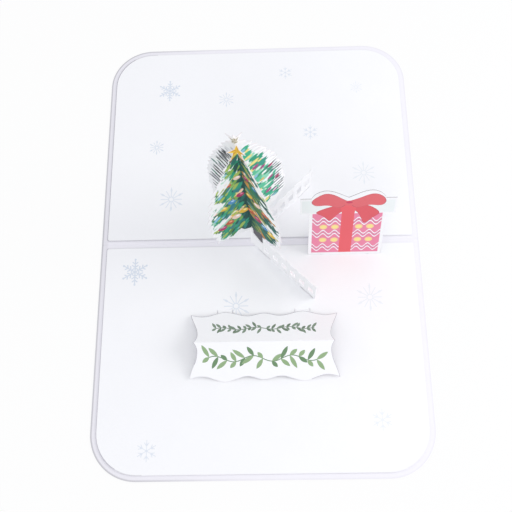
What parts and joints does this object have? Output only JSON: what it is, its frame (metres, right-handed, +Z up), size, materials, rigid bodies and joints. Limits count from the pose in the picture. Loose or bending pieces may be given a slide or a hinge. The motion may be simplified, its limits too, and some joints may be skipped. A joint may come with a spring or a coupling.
{
  "type": "pop_up_card",
  "caption": "Pop-up greeting card opened flat: winter tree, leaning gift, ladder strut and tent-shaped plaque on snowflake pages",
  "frame": {"origin": "on the fold between the two leaves, at the underside of the cover, midway along the fold", "axes": "+X along the fold to the reader's right, +Y from the near leaf to the far leaf, +Z up from the table"},
  "size_m": [0.18, 0.26, 0.1174],
  "materials": {
    "cover_card": "matt white card, plain",
    "liner_paper": "smooth matt white paper with a pale print of snowflakes",
    "plain_paper": "smooth matt white paper with a laser-cut edge",
    "tree_paper": "smooth matt paper, printed on both faces, laser-cut edge",
    "gift_paper": "smooth matt paper printed in pink and coral with white zigzags"
  },
  "bodies": {
    "root": {"cover": "cover_card", "upper_liner": "liner_paper", "lower_liner": "liner_paper", "ladder_strut": "plain_paper", "tree_front": "tree_paper", "tree_back": "tree_paper", "gift_front": "gift_paper", "gift_support": "plain_paper", "plaque": "plain_paper"}
  },
  "joints": []
}
